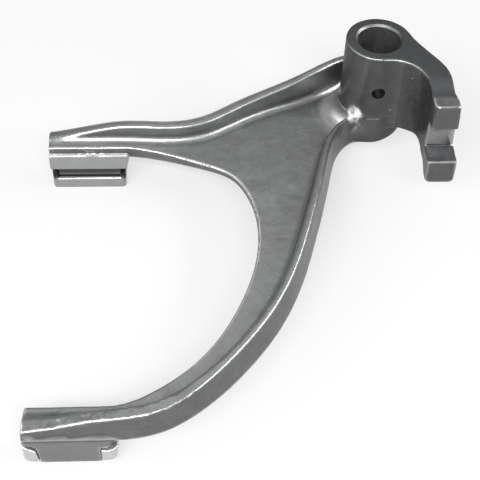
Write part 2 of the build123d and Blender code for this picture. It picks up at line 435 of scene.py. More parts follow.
# plans and side views after the CAD's, trimmed to what the photograph shows
inner_pts = [
    (X1 - 4.1, ARM_IN_NEAR),
    around_sleeve(-64.0, 1.7),
    around_sleeve(-46.3, 0.7),
    around_sleeve(-17.4, 1.3),
    around_sleeve(13.4, 9.6),
    around_sleeve(29.3, 14.8),
    around_sleeve(39.9, 15.8),
    around_sleeve(50.2, 11.2),
    around_sleeve(63.9, 6.4),
    (X1 + 0.9, ARM_IN_FAR),
]
outer_near_pts = [
    (X1 + 0.9, NEAR_OUT),
    around_sleeve(-65.5, 15.9),
    around_sleeve(-51.9, 15.5),
    around_sleeve(-36.2, 15.6),
    around_sleeve(-20.9, 18.3),
    around_sleeve(-5.7, 23.4),
    around_sleeve(9.1, 32.0),
    around_sleeve(25.8, 52.6),
    (-18.8, -HUB_R - 16.7),
    (-14.6, -HUB_R - 8.3),
    (-8.4, -HUB_R - 2.7),
    (0.0, -HUB_R - 0.3),
]
outer_far_pts = [
    (4.0, HUB_R + 0.1),
    (-15.0, HUB_R + 3.5),
    around_sleeve(47.7, 76.1),
    around_sleeve(50.7, 61.3),
    around_sleeve(54.1, 46.0),
    around_sleeve(58.0, 30.4),
    around_sleeve(65.1, 19.9),
    (X1 + 0.9, FAR_OUT),
]
near_mid = shifted(outer_near_pts, RIB_BASE / 2)
far_mid = shifted(outer_far_pts, RIB_BASE / 2)
inner_line = curve(inner_pts, (1, 0), (-1, 0.12))
web_outline = np.vstack(
    [
        [(X0, ARM_IN_NEAR)],
        inner_line,
        [(X0, ARM_IN_FAR), (X0, far_mid[-1][1])],
        curve(far_mid)[::-1],
        curve(near_mid)[::-1],
        [(X0, near_mid[0][1])],
    ]
)


def rib_side(points, offset, corners):
    # area on the inner side of a rib's contour moved by an offset
    return np.vstack([curve(shifted(points, offset)), corners])


# the ribs run straight along the tips, and corners well outside the fork close their areas
ALONG_TIP = (-6, 12, 24)
PAST_TIP = X0 - 6
PAST_HUB = 30
PAST_FAR = 60
PAST_NEAR = -190
near_pts = [(X0 + x, NEAR_OUT) for x in ALONG_TIP] + outer_near_pts
far_pts = outer_far_pts + [(X0 + x, FAR_OUT) for x in reversed(ALONG_TIP)]
near_corners = [(0, PAST_FAR), (PAST_TIP, PAST_FAR)]
near_in_corners = [(PAST_HUB, -8.6), (PAST_HUB, PAST_FAR), (PAST_TIP, PAST_FAR)]
far_corners = [(PAST_TIP, PAST_NEAR), (4, PAST_NEAR)]
far_in_corners = [(PAST_TIP, PAST_NEAR), (PAST_HUB, PAST_NEAR), (PAST_HUB, 9.3)]
near_top = np.vstack(
    [
        curve([(X0 - 5, 5.0), (X0 + 13, 8.2), (X0 + 27, 11.8), (X0 + 40, RIB_H - 0.4)], (1, 0.12), (1, 0)),
        [(-80, RIB_H), (60, RIB_H)],
    ]
)
far_height_pts = [
    (X0 - 5, RIB_TIP_H + 1.1),
    (X0 + 15, 11.3),
    (X0 + 32, 14.7),
    (-92, 14.0),
    (-64.0, RIB_H),
    (-39, 16.4),
    (-29.4, 18.4),
    (-20.2, 21.0),
    (-11.0, RIB_HUB_H),
    (12, RIB_HUB_H + 0.4),
]
far_top = np.vstack([curve(far_height_pts, (1, 0.12), (1, 0)), [(60, RIB_HUB_H + 0.4)]])
JOIN_ANGLE = math.radians(-90.0)
SIDE_ANGLE = math.atan2(9.0, 11.2)
hub_arc = np.linspace(SIDE_ANGLE, JOIN_ANGLE + 2 * math.pi, 90)
arm_outer_pts = [(11.2, 9.0), (16.4, -1.4), (22.0, -10.8), (WALL_OUT - 0.6, -21.0), (WALL_OUT, BEND_Y)]
arm_outer = curve(arm_outer_pts, (0.6, -1), (0, -1))
arm_start = (HUB_R * math.cos(JOIN_ANGLE), HUB_R * math.sin(JOIN_ANGLE))
arm_inner = curve([arm_start, (10.5, -16.5), (WALL_IN - 1.6, -23.2), (WALL_IN, BEND_Y)], (1, 0), (0, -1))
head_outline = np.vstack(
    [
        np.stack([HUB_R * np.cos(hub_arc), HUB_R * np.sin(hub_arc)], 1),
        arm_inner[1:],
        [(WALL_IN, JAW_Y - 1.5), (WALL_OUT, JAW_Y - 1.5)],
        arm_outer[::-1][:-1],
    ]
)
# side view of the selector arm's underside
wall_under_pts = [(-50.0, 10.2), (-30.0, 11.4), (-22.0, 11.0), (-16.0, 9.4), (-8.0, 9.4), (HUB_R, BOSS_H)]
wall_under = curve(wall_under_pts)

# side view of the jaw
jaw_profile = rounded(
    [
        (-30.0, JAW_TOP + 3),
        (HORN_UP_Y, JAW_TOP + 3),
        (HORN_UP_Y, NOTCH_TOP),
        (NOTCH_Y, NOTCH_TOP),
        (NOTCH_Y, SHELF_Z),
        (HORN_LOW_Y, SHELF_Z - 0.5),
        (HORN_LOW_Y, JAW_LOW - 4),
        (-30.0, JAW_LOW - 4),
    ],
    {2: 0.8, 3: 1.2, 5: 0.5},
)

# block of space that holds the whole forging
low_corner = np.array([X0 - 2.5, NEAR_OUT - 2.5, TONGUE_Z - 2.0])
high_corner = np.array([ARM_REACH + 4.3, HUB_R + 6.5, HUB_H + 2.0])


class Field:
    # block of signed distances on a regular grid, in millimetres
    def __init__(self, low, high, step):
        self.low = np.asarray(low, float)
        self.step = step
        self.counts = np.ceil((np.asarray(high, float) - self.low) / step).astype(int) + 1
        self.x, self.y, self.z = (self.low[i] + step * np.arange(self.counts[i]) for i in range(3))
        gx, gy = np.meshgrid(self.x, self.y, indexing="ij")
        self.gx = gx.astype(np.float32)
        self.gy = gy.astype(np.float32)
        self.value = np.empty(tuple(self.counts), np.float32)

    def box(self, z, spans, r):
        (xa, xb), (ya, yb), (za, zb) = spans
        bx = np.maximum(xa - self.gx, self.gx - xb)
        by = np.maximum(ya - self.gy, self.gy - yb)
        return both(both(bx, by, r), np.float32(max(za - z, z - zb)), r)

    def at(self, points):
        # distance and slope at any points
        g = (points - self.low) / self.step
        base = np.clip(np.floor(g).astype(int), 0, np.array(self.value.shape) - 2)
        f = np.clip(g - base, 0, 1)
        c = {}
        for i in (0, 1):
            for j in (0, 1):
                for k in (0, 1):
                    c[i, j, k] = self.value[base[:, 0] + i, base[:, 1] + j, base[:, 2] + k]
        fx, fy, fz = f[:, 0], f[:, 1], f[:, 2]
        c00 = c[0, 0, 0] * (1 - fx) + c[1, 0, 0] * fx
        c10 = c[0, 1, 0] * (1 - fx) + c[1, 1, 0] * fx
        c01 = c[0, 0, 1] * (1 - fx) + c[1, 0, 1] * fx
        c11 = c[0, 1, 1] * (1 - fx) + c[1, 1, 1] * fx
        low_y = c00 * (1 - fz) + c01 * fz
        high_y = c10 * (1 - fz) + c11 * fz
        low_z = c00 * (1 - fy) + c10 * fy
        high_z = c01 * (1 - fy) + c11 * fy
        dx = (
            (c[1, 0, 0] - c[0, 0, 0]) * (1 - fy) * (1 - fz)
            + (c[1, 1, 0] - c[0, 1, 0]) * fy * (1 - fz)
            + (c[1, 0, 1] - c[0, 0, 1]) * (1 - fy) * fz
            + (c[1, 1, 1] - c[0, 1, 1]) * fy * fz
        )
        slope = np.stack([dx, high_y - low_y, high_z - low_z], 1) / self.step
        return low_z * (1 - fz) + high_z * fz, slope

    def settle(self, points, rounds=2):
        # move points onto the zero surface along the field's slope
        for _ in range(rounds):
            value, slope = self.at(points)
            move = slope * (value / np.maximum((slope * slope).sum(1), 0.05))[:, None]
            reach = np.linalg.norm(move, axis=1)
            points = points - move * np.minimum(1, 0.4 * self.step / np.maximum(reach, 1e-9))[:, None]
        return points

    def skin(self):
        # quads over the zero surface, one point in each cell that it crosses
        neg = self.value < 0
        nx, ny, nz = neg.shape
        corners = [(i, j, k) for i in (0, 1) for j in (0, 1) for k in (0, 1)]
        mixed = np.zeros((nx - 1, ny - 1, nz - 1), bool)
        first = neg[:-1, :-1, :-1]
        for i, j, k in corners:
            mixed |= neg[i : nx - 1 + i, j : ny - 1 + j, k : nz - 1 + k] != first
        cells = np.argwhere(mixed)
        number = np.full(mixed.shape, -1, np.int32)
        number[mixed] = np.arange(len(cells), dtype=np.int32)
        total = np.zeros((len(cells), 3))
        hits = np.zeros(len(cells))
        level = {}
        for i, j, k in corners:
            level[i, j, k] = self.value[cells[:, 0] + i, cells[:, 1] + j, cells[:, 2] + k].astype(float)
        for a in corners:
            for axis in range(3):
                if a[axis]:
                    continue
                b = tuple(1 if q == axis else a[q] for q in range(3))
                crosses = (level[a] < 0) != (level[b] < 0)
                t = np.where(crosses, level[a] / np.where(crosses, level[a] - level[b], 1), 0)
                place = np.array(a, float)[None, :].repeat(len(cells), 0)
                place[:, axis] = t
                total += place * crosses[:, None]
                hits += crosses
        points = self.low + self.step * (cells + total / hits[:, None])
        faces = []
        for axis in range(3):
            u, v = [q for q in range(3) if q != axis]
            lo = [slice(None)] * 3
            hi = [slice(None)] * 3
            lo[axis] = slice(0, -1)
            hi[axis] = slice(1, None)
            here = neg[tuple(lo)]
            there = neg[tuple(hi)]
            for inward in (True, False):
                e = np.argwhere((here & ~there) if inward else (~here & there))
                e = e[(e[:, u] > 0) & (e[:, v] > 0)]
                e = e[(e[:, u] < neg.shape[u] - 1) & (e[:, v] < neg.shape[v] - 1)]
                ring = []
                for du, dv in ((-1, -1), (0, -1), (0, 0), (-1, 0)):
                    c = e.copy()
                    c[:, u] += du
                    c[:, v] += dv
                    ring.append(number[c[:, 0], c[:, 1], c[:, 2]])
                quad = np.stack(ring, 1)
                faces.append(quad[:, ::-1] if inward != (axis != 1) else quad)
        return self.settle(points), np.vstack(faces)


def noise(points, size, seed):
    # smooth random values between -1 and 1, changing over a size in millimetres
    rng = np.random.default_rng(seed)
    table = rng.uniform(-1, 1, (32, 32, 32))
    g = points / size + 100.37
    base = np.floor(g).astype(int)
    f = g - base
    f = f * f * (3 - 2 * f)
    out = np.zeros(len(points))
    for i in (0, 1):
        for j in (0, 1):
            for k in (0, 1):
                w = f[:, 0] if i else 1 - f[:, 0]
                w = w * (f[:, 1] if j else 1 - f[:, 1])
                w = w * (f[:, 2] if k else 1 - f[:, 2])
                out += w * table[(base[:, 0] + i) % 32, (base[:, 1] + j) % 32, (base[:, 2] + k) % 32]
    return out


def blob(points, centre, radius):
    # 1 in the middle of a round patch and 0 outside it
    d = np.linalg.norm((points - np.asarray(centre, float)) / np.asarray(radius, float), axis=1)
    return 1 - ramp(d, 0.55, 1.0)


def head_top(y):
    # level of the top face, a little lower at the jaw than at the hub
    return JAW_TOP + (HUB_H - JAW_TOP) * ramp(y, *TOP_SLOPE_Y)


fork = Field(low_corner, high_corner, GRID)
web_plan = distance_to(web_outline, fork.gx, fork.gy)
inner_outline = np.vstack([inner_line, [(X0 - 9, ARM_IN_FAR), (X0 - 9, ARM_IN_NEAR)]])
inner_plan = distance_to(inner_outline, fork.gx, fork.gy)
near_out = distance_to(rib_side(near_pts, 0, near_corners), fork.gx, fork.gy)
near_in = distance_to(rib_side(near_pts, RIB_BASE, near_in_corners), fork.gx, fork.gy)
far_out = distance_to(rib_side(far_pts, 0, far_corners), fork.gx, fork.gy)
far_in = distance_to(rib_side(far_pts, FAR_FOOT, far_in_corners), fork.gx, fork.gy)
# the forging stands a little proud of the CAD's plan, less where the ribs meet the hub
near_proud = NEAR_PROUD - HUB_INSET * ramp(fork.gx, *HUB_INSET_X)
near_draft = DRAFT + NEAR_LEAN * ramp(fork.gx, *NEAR_LEAN_X)
web_height = WEB_T + WEB_RISE * ramp(fork.gx, *WEB_RISE_X) * (fork.gy > WEB_RISE_FROM_Y)
head_plan = distance_to(head_outline, fork.gx, fork.gy)
jaw_y, jaw_z = np.meshgrid(fork.y[fork.y < -25], fork.z, indexing="ij")
jaw_side = distance_to(jaw_profile, jaw_y, jaw_z)
jaw_low = (JAW_LOW + JAW_LOW_RISE * ramp(fork.gy, *JAW_LOW_RISE_Y)).astype(np.float32)
bulge = ramp(fork.gy, *JAW_BULGE_Y).astype(np.float32)
far_foot_r = (FAR_FOOT_R + FAR_FOOT_ADD * ramp(fork.gx, *FAR_FOOT_X)).astype(np.float32)
web_round = (WEB_ROUND + WEB_ROUND_ADD * ramp(fork.gx, *WEB_ROUND_X)).astype(np.float32)
under_round = (ARM_EDGE_R - ARM_EDGE_LESS * ramp(fork.gy, *ARM_EDGE_Y)).astype(np.float32)
near_height = along(near_top, fork.x)[:, None].astype(np.float32)
far_height = along(far_top, fork.x)[:, None].astype(np.float32)
under_height = np.interp(fork.y, wall_under[:, 0], wall_under[:, 1])[None, :].astype(np.float32)
hub_plan = np.sqrt(fork.gx**2 + fork.gy**2) - HUB_R
arm_top = head_top(fork.y)[None, :].astype(np.float32)
# the trimmed flash line lies low on the inner contour and higher on the outer one
flash_z = PARTING_Z + FLASH_RISE * ramp(inner_plan, *FLASH_RISE_AWAY)


def clip_span(side):
    # ends of a clip in X, the short arm's clip a little shorter
    trim = CLIP_TRIM if side > 0 else 0.0
    return CLIP_X0 + trim, CLIP_X1 - trim


def tip_at(z, inner_y, outer_y, arm_y, arm_top_z):
    # machined block, its ledge, and the T-shaped tongue below
    s = 1 if outer_y > inner_y else -1
    gap = s * (SHEET_T + FIT_GAP)

    def piece(xa, xb, ya, yb, za, zb, r):
        return fork.box(z, ((xa, xb), (min(ya, yb), max(ya, yb)), (za, zb)), r)

    right = X1 + BLOCK_PAST - BLOCK_DRAFT * (LEDGE_Z - z)
    middle = LEDGE_Z - LEDGE_DEEP / 2
    head = piece(X0, right, inner_y, outer_y, INNER_SHOULDER, middle, BLOCK_EDGE_R)
    ledge = piece(X0, right, inner_y, outer_y, LEDGE_Z - LEDGE_DEEP, LEDGE_Z, LEDGE_R)
    head = np.minimum(head, ledge)
    low_right = X1 + UNDER_PAST - UNDER_NARROWS * ramp(z, *UNDER_NARROWS_Z)
    under = piece(CLIP_X0, low_right, inner_y + gap, outer_y, OUTER_SHOULDER, 0, UNDER_EDGE_R)
    # the underside rises towards both ends, over the slanted tops of the clip's ears
    reach, run, rise = LEFT_SLANT
    left_rise = np.clip((X0 + reach - fork.gx) / run, 0, 1) * rise
    reach, run, rise = RIGHT_SLANT
    right_rise = np.clip((fork.gx - X1 + reach) / run, 0, 1) * rise
    under = both(under, OUTER_SHOULDER + left_rise + right_rise - z, BLOCK_EDGE_R)
    head = np.minimum(head, under)
    arm = piece(X0, X1, arm_y, outer_y, 0, arm_top_z, ARM_TOP_R)
    start, end = clip_span(s)
    core_out = outer_y + s * EAR_PROUD - gap
    core_in = inner_y + gap
    core = piece(start + abs(gap), end - abs(gap), core_in, core_out, TONGUE_Z, 0, BLOCK_EDGE_R)
    slant = EAR_SLANT * (OUTER_SHOULDER - z) / (OUTER_SHOULDER - TONGUE_Z)
    left = CENTRE_X0 + max(0, slant)
    centre = piece(left, CENTRE_X1, core_in, outer_y, TONGUE_Z, 0, CENTRE_EDGE_R)
    return np.minimum(np.minimum(head, arm), np.minimum(core, centre))


def web_at(z):
    # the yoke's web, its underside drawn in below the parting line
    below = max(PARTING_Z - z, 0) / PARTING_Z
    return both(web_plan + WEB_UNDER * below, z - web_height, web_round)


def near_rib_at(z):
    # rib along the long arm's outer contour
    high = max(z, 0)
    return np.maximum(
        both(near_out - near_proud + near_draft * high, z - near_height, NEAR_CREST_OUT_R),
        both(DRAFT * high - near_in, z - near_height, NEAR_CREST_IN_R),
    )


def far_rib_at(z):
    # rib along the short arm's outer contour
    high = max(z, 0)
    return np.maximum(
        both(far_out - FAR_PROUD + DRAFT * high, z - far_height, FAR_CREST_OUT_R),
        both(DRAFT * high - far_in, z - far_height, FAR_CREST_IN_R),
    )


def hub_at(z):
    # hub with the boss round its foot
    return np.minimum(hub_plan, both(hub_plan - BOSS_STEP, np.float32(z - BOSS_H), BOSS_ROUND))


def yoke_and_hub_at(z):
    web = web_at(z)
    near_rib = near_rib_at(z)
    far_rib = far_rib_at(z)
    yoke = joined(joined(web, near_rib, NEAR_FOOT_R), far_rib, far_foot_r)
    body = merged(hub_at(z), web, ROOT_WIDTH)
    body = joined(body, near_rib, NEAR_ROOT_R + NEAR_ROOT_ADD * ramp(z, *NEAR_ROOT_Z))
    body = joined(body, far_rib, FAR_ROOT_R)
    return both(np.minimum(body, yoke), np.float32(-z), UNDERSIDE_ROUND)


def selector_arm_at(z):
    # hub wall and curled arm, with the flash line at the boss
    under_arm = joined(hub_plan - BOSS_STEP, under_height - z, UNDER_ARM_R)
    arm = np.maximum(both(head_plan, under_arm, under_round), ARM_LOW - z)
    line = np.exp(-(((z - BOSS_H - ARM_FLASH_UP) / ARM_FLASH_WIDTH) ** 2))
    return arm - FLASH * line * ramp(fork.gy, *ARM_FLASH_Y)


def jaw_at(k, z):
    # upper and lower horn with the notch between them
    reach = WALL_OUT + (ARM_REACH - WALL_OUT + JAW_LEAN * (HUB_H - z)) * bulge
    front = both(np.maximum(WALL_IN - fork.gx, fork.gx - reach), jaw_low - z, JAW_ROUND)
    front = both(front, np.float32(z - JAW_TOP), JAW_TOP_R)
    side = np.full(fork.gx.shape, OUT_OF_REACH, np.float32)
    side[:, : jaw_side.shape[0]] = jaw_side[:, k][None, :]
    side = np.maximum(side, fork.gy - JAW_START)
    jaw = both(front, side, HORN_R if z > NOTCH_TOP else LOWER_HORN_R)
    # the upper horn's inner corner is rounder towards its top
    corner = float(HORN_CORNER_R + HORN_CORNER_ADD * ramp(z, *HORN_CORNER_Z))
    return np.maximum(jaw, both(WALL_IN - fork.gx, side, corner))


def forging_at(k, z):
    # one level of the forging's distance field
    body = yoke_and_hub_at(z)
    arm = selector_arm_at(z)
    body = joined(body, arm, ARM_ROOT_R) if z > BOSS_H else np.minimum(body, arm)
    body = np.minimum(body, jaw_at(k, z))
    body = both(body, z - arm_top, HEAD_ROUND)
    body = both(body, X0 - fork.gx, TIP_END_R)
    body = body - FLASH * np.exp(-(((z - flash_z) / FLASH_WIDTH) ** 2))
    far_tip = tip_at(z, FAR_IN, FAR_OUT, ARM_IN_FAR, WEB_T + WEB_RISE)
    tips = np.minimum(far_tip, tip_at(z, NEAR_IN, NEAR_OUT, ARM_IN_NEAR, WEB_T))
    # the long arm's end leans away from the clip
    lean = NEAR_END_LEAN + NEAR_END_SKEW * (fork.gy - NEAR_OUT)
    near_end = lean * (fork.gy < SLEEVE_Y) * ramp(z, *NEAR_END_Z)
    return both(np.minimum(body, tips), X0 + near_end - fork.gx, NEAR_END_R)


def clip_at(grid, z, inner_y, outer_y):
    # bent sheet clip: lip on the inner face, posts at both ends, ears on the outer face
    s = 1 if outer_y > inner_y else -1
    face_y = outer_y + s * EAR_PROUD
    ya, yb = min(inner_y, face_y), max(inner_y, face_y)
    start, end = clip_span(s)
    # the ears' top edges climb towards the ends
    run, rise = LEFT_CLIMB
    climb = rise * np.clip((start + run - grid.gx) / run, 0, 1)
    run, rise = RIGHT_CLIMB
    climb = climb + rise * np.clip((grid.gx - end + run) / run, 0, 1)
    top = TONGUE_Z + EAR_H + climb
    bx = np.maximum(start - grid.gx, grid.gx - end)
    by = np.maximum(ya - grid.gy, grid.gy - yb)
    # the ears end higher than the lip and have rounder lower corners
    on_ear = 1 - ramp(s * (face_y - grid.gy), *EAR_DEPTH)
    below = TONGUE_Z + EAR_LIFT * on_ear - z
    shell = both(bx, by, PAD_CORNER)
    shell = both(shell, below, PAD_EDGE)
    shell = np.maximum(shell, both(bx, below, PAD_LOW_CORNER + EAR_CORNER_ADD * on_ear))
    shell = both(shell, z - top, PAD_TOP_EDGE)
    hollow = np.maximum(bx, by) + SHEET_T
    lip_top = TONGUE_Z + LIP_H - z
    between = np.maximum(start + POST - grid.gx, grid.gx - end + POST)
    window = np.maximum(between, s * (grid.gy - inner_y) - SHEET_T - WINDOW_PAST)
    window = np.maximum(window, lip_top)
    slant = EAR_SLANT * (1 - (z - TONGUE_Z) / EAR_H)
    mouth = np.maximum(CENTRE_X0 - FIT_GAP + slant - grid.gx, grid.gx - CENTRE_X1 - FIT_GAP)
    mouth = np.maximum(mouth, s * (inner_y - grid.gy) + SHEET_T)
    clip = both(shell, -hollow, BEND_R)
    clip = both(clip, -window, WINDOW_R)
    return both(clip, -mouth, BEND_R)


def add_mesh(name, points, faces):
    mesh = bpy.data.meshes.new(name)
    faces = np.asarray(faces, np.int32)
    k = faces.shape[1]
    mesh.vertices.add(len(points))
    mesh.vertices.foreach_set("co", (np.asarray(points) * MM).astype(np.float32).ravel())
    mesh.loops.add(faces.size)
    mesh.loops.foreach_set("vertex_index", faces.ravel())
    mesh.polygons.add(len(faces))
    mesh.polygons.foreach_set("loop_start", np.arange(0, faces.size, k, dtype=np.int32))
    mesh.update(calc_edges=True)
    mesh.validate()
    obj = bpy.data.objects.new(name, mesh)
    bpy.context.scene.collection.objects.link(obj)
    return obj


def lathe(name, profile, turn, count):
    # closed tool turned from (radius, height) pairs, then placed by a matrix in millimetres
    bm = bmesh.new()
    rings = []
    for r, h in profile:
        ring = []
        for k in range(count):
            a = 2 * math.pi * k / count
            ring.append(bm.verts.new((turn @ Vector((r * math.cos(a), r * math.sin(a), h))) * MM))
        rings.append(ring)
    for low, high in zip(rings, rings[1:]):
        for k in range(count):
            bm.faces.new((low[k], low[(k + 1) % count], high[(k + 1) % count], high[k]))
    bm.faces.new(rings[0])
    bm.faces.new(rings[-1])
    bmesh.ops.recalc_face_normals(bm, faces=bm.faces)
    mesh = bpy.data.meshes.new(name)
    bm.to_mesh(mesh)
    bm.free()
    obj = bpy.data.objects.new(name, mesh)
    bpy.context.scene.collection.objects.link(obj)
    return obj


def bake_modifiers(obj):
    graph = bpy.context.evaluated_depsgraph_get()
    mesh = bpy.data.meshes.new_from_object(obj.evaluated_get(graph))
    obj.modifiers.clear()
    old = obj.data
    obj.data = mesh
    bpy.data.meshes.remove(old)


def cut(obj, tool):
    mod = obj.modifiers.new("cut", "BOOLEAN")
    mod.operation = "DIFFERENCE"
    mod.solver = "EXACT"
    mod.object = tool
    bake_modifiers(obj)
    bpy.data.objects.remove(tool)


def thin_out(obj, triangles):
    obj.data.update()
    mod = obj.modifiers.new("thin", "DECIMATE")
    mod.ratio = min(1.0, triangles / (2 * len(obj.data.polygons)))
    bake_modifiers(obj)


def machined_at(p):
    # 1 where the metal was cut after forging: the tips' blocks and the floor of the jaw's notch
    x, y, z = p.T
    on_tip = (x < X1 + 1.0) & ((y < NEAR_IN + SLACK) | (y > FAR_IN - SLACK))
    depth = np.where(y > SLEEVE_Y, (y - FAR_IN) / TIP_T, (NEAR_IN - y) / TIP_T)
    border = LEDGE_Z - 0.3 - CUT_BORDER_DROP * np.clip(depth, 0, 1)
    outer_face = np.where((depth > 0.9) & (y < SLEEVE_Y), OUTER_FACE_CUT, 1.0)
    tip = np.where(on_tip, outer_face * ramp(border - z, -0.25, 0.25), 0)
    on_jaw = (x > ARM_FROM_X) & (y < NOTCH_Y + 1) & (y > NOTCH_Y - 0.7)
    notch_floor = on_jaw & (z < NOTCH_TOP - 0.4) & (z > SHELF_Z + 0.9)
    return np.clip(np.maximum(tip, NOTCH_FLOOR_CUT * notch_floor), 0, 1)


def flat_top_at(p):
    # 1 on the faced top of hub and selector arm, and on the lower horn's shelf, whose dark grey is painted
    # shade
    x, y, z = p.T
    top = ramp(z - head_top(y), -0.3, -0.14)
    on_horn = (x > ARM_FROM_X) & (y < NOTCH_Y - 0.7) & (y > HORN_LOW_Y + 0.4)
    return np.maximum(top, on_horn & (z > SHELF_Z - 1.0) & (z < SHELF_Z + 1.2))


def slot_shade_at(p):
    # 1 on the tongues' sides and in the gaps above lips and ears, darkened there as painted shade
    x, y, z = p.T
    depth = np.where(y > SLEEVE_Y, y - FAR_IN, NEAR_IN - y)
    inner_slot = (depth > 1.2) & (depth < 4.0)
    beside_centre = (x < CENTRE_X0 + SLACK) | (x > CENTRE_X1 - SLACK)
    outer_gap = beside_centre & (depth < TIP_T - 0.7) & (depth > TIP_T - 4.0)
    below_block = ramp(-z, -INNER_SHOULDER - 0.9, -INNER_SHOULDER - 0.3)
    dark = below_block * (inner_slot | outer_gap) * (x < X1)
    end_gap = (y < SLEEVE_Y) * ramp(x, X1 - 3.0, X1 - 2.0) * ramp(-z, 1.4, 2.2)
    return np.maximum(dark, end_gap)


def post_shade_at(p):
    # 1 on the short arm's clip beside its slot, where it gets painted shade
    x, y, z = p.T
    on_post = (y > FAR_IN - 1) & (y < FAR_IN + TIP_T - 3.0)
    return ramp(z, TONGUE_Z + LIP_H - 0.5, TONGUE_Z + LIP_H + 0.6) * on_post


def head_at(p):
    # 1 on hub and selector arm, whose skin is darker than the yoke's, and less on the jaw
    x, y, z = p.T
    arm = 1 - JAW_LIGHTER * ramp(y, *JAW_LIGHTER_Y)
    hub = 1 - ramp(np.hypot(x, y) - HUB_R, *HEAD_FADE)
    return np.where(x > ARM_FROM_X - 1, arm, hub)


def scale_and_highlight_spot_at(p):
    # rough patch of broken scale where the long arm's rib runs into the hub; its light flakes are a
    # painted highlight
    return blob(p, SCALE_SPOT, SCALE_SPOT_R)


def forged_relief(p):
    # height of the forged skin over the die's own shape
    x, y, z = p.T

    def layer(height, size, seed):
        return height * noise(p, size, seed)

    worn = sum(layer(*row) for row in WORN_LAYERS)
    rough = sum(layer(*row) for row in ROUGH_LAYERS)
    angle = np.degrees(np.arctan2(y - SLEEVE_Y, x - SLEEVE_X))
    on_arm = ramp(angle, *ROUGH_ARM_START) * (1 - ramp(angle, *ROUGH_ARM_END)) * (z > ROUGH_ARM_Z)
    on_arm *= ramp(np.hypot(x - SLEEVE_X, y - SLEEVE_Y) - SLEEVE_R, *ROUGH_ARM_IN)
    ledge = blob(p, WORN_LEDGE, WORN_LEDGE_R) * np.minimum(layer(*LEDGE_LAYER), LEDGE_PROUD)
    scale = scale_and_highlight_spot_at(p) * (layer(*SCALE_LAYER) + SCALE_PROUD)
    return ledge + worn + on_arm * rough + scale


def make_forging():
    for k, z in enumerate(fork.z):
        fork.value[:, :, k] = forging_at(k, float(z))
    points, faces = fork.skin()
    slope = fork.at(points)[1]
    slope /= np.maximum(np.linalg.norm(slope, axis=1), 1e-6)[:, None]
    smooth_part = np.maximum(np.minimum(machined_at(points) * 2, 1), flat_top_at(points))
    points = points + slope * (forged_relief(points) * (1 - smooth_part))[:, None]
    points = np.clip(points, BOX_LOW, BOX_HIGH)
    forging = add_mesh("fork_forging", points, faces)
    thin_out(forging, SKIN_TRIANGLES)
    upright = Matrix.Identity(4)
    mouth = HUB_H - BORE_CHAMFER
    bore = [(BORE_R, -5), (BORE_R, mouth), (BORE_R + BORE_CHAMFER + 2, mouth + BORE_CHAMFER + 2)]
    cut(forging, lathe("bore_tool", bore, upright, BORE_SIDES))
    sideways = Matrix.Translation((0, 0, PIN_Z)) @ Matrix.Rotation(math.pi / 2, 4, "X")
    pin = [(PIN_R, -HUB_R - 4), (PIN_R, HUB_R + 4)]
    cut(forging, lathe("pin_tool", pin, sideways, PIN_SIDES))
    return forging


def make_clip(name, inner_y, outer_y):
    lo = (CLIP_X0 - 1, min(inner_y, outer_y) - 1.5, TONGUE_Z - 1)
    hi = (CLIP_X1 + 1, max(inner_y, outer_y) + 1.5, TONGUE_Z + EAR_H + 5)
    grid = Field(lo, hi, CLIP_GRID)
    for k, z in enumerate(grid.z):
        grid.value[:, :, k] = clip_at(grid, float(z), inner_y, outer_y)
    points, faces = grid.skin()
    clip = add_mesh(name, np.clip(points, BOX_LOW, BOX_HIGH), faces)
    thin_out(clip, CLIP_TRIANGLES)
    return clip


def smooth(obj):
    # the faced top stays flat, everything else is shaded smooth
    for poly in obj.data.polygons:
        poly.use_smooth = not (poly.normal.z > 0.9995 and poly.center.z > (JAW_TOP - 1.0) * MM)
    obj.data.set_sharp_from_angle(angle=math.radians(SHARP_ANGLE))


def face_values(mesh, name):
    values = np.empty(3 * len(mesh.polygons), np.float32)
    mesh.polygons.foreach_get(name, values)
    return values.reshape(-1, 3).T


def mark_holes(mesh):
    # face values: 1 in the bore and on the chamfer's side away from the light, 2 in the cross hole; both
    # get painted shade
    x, y, z = face_values(mesh, "center").astype(float) / MM
    across = np.abs(face_values(mesh, "normal"))
    upward = across[2]
    from_axis = np.hypot(x, y)
    in_bore = (from_axis < BORE_R + HOLE_SLACK) & (upward < WALL_TILT)
    # the chamfer's side that faces away from the light gets the bore's painted shade
    on_chamfer = (from_axis < BORE_R + BORE_CHAMFER + HOLE_SLACK) & (upward > WALL_TILT)
    on_chamfer &= upward < FLAT_TILT
    in_bore |= on_chamfer & (TO_LIGHT[0] * x + TO_LIGHT[1] * y < -SHADED_PAST)
    in_pin = (np.hypot(x, z - PIN_Z) < PIN_R + PIN_FACE_SLACK) & ~in_bore & (across[1] < WALL_TILT)
    layer = mesh.attributes.new("hole", "FLOAT", "FACE")
    layer.data.foreach_set("value", np.where(in_pin, 2, np.where(in_bore, 1, 0)).astype(np.float32))


def store(mesh, name, values):
    layer = mesh.attributes.new(name, "FLOAT", "POINT")
    layer.data.foreach_set("value", np.asarray(values, np.float32))


def points_of(mesh):
    co = np.empty(3 * len(mesh.vertices), np.float32)
    mesh.vertices.foreach_get("co", co)
    return co.reshape(-1, 3).astype(float) / MM


